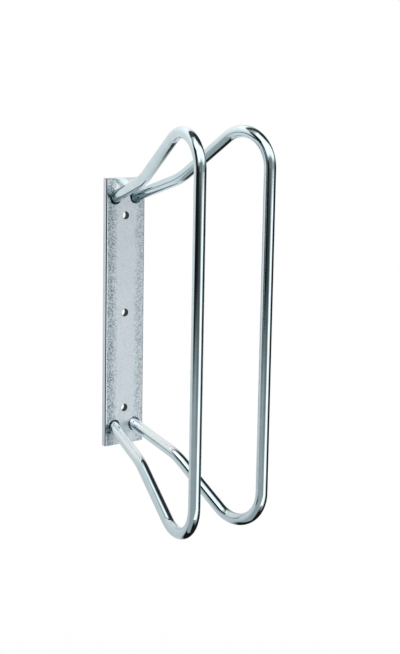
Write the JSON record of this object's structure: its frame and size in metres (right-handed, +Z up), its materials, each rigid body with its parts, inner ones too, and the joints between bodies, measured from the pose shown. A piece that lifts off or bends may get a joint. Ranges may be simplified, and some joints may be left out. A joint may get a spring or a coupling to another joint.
{
  "type": "wall-mounted bicycle wheel holder",
  "caption": "Wall-mounted bicycle wheel holder: bent round-tube hoops splay in a V from a flat steel wall plate with plain screw holes.",
  "frame": {"origin": "middle of the plate's back face, where the plate lies on the wall", "axes": "+X to the right as seen from the room, +Y into the wall, +Z up along the plate; the hoops reach out towards -Y"},
  "size_m": [0.1484, 0.2841, 0.612],
  "materials": {
    "plate_zinc": "bright zinc plating over rolled flat bar, finely grained",
    "tube_zinc": "bright zinc plating over drawn tube, mirror-like with a faint blue cast",
    "weld_steel": "zinc-plated weld metal, ground flush"
  },
  "bodies": {
    "root": {"wall_plate": "plate_zinc", "left_hoop": "tube_zinc", "right_hoop": "tube_zinc", "rear_weld_upper_left": "weld_steel", "rear_weld_lower_left": "weld_steel", "rear_weld_upper_right": "weld_steel", "rear_weld_lower_right": "weld_steel"}
  },
  "joints": []
}
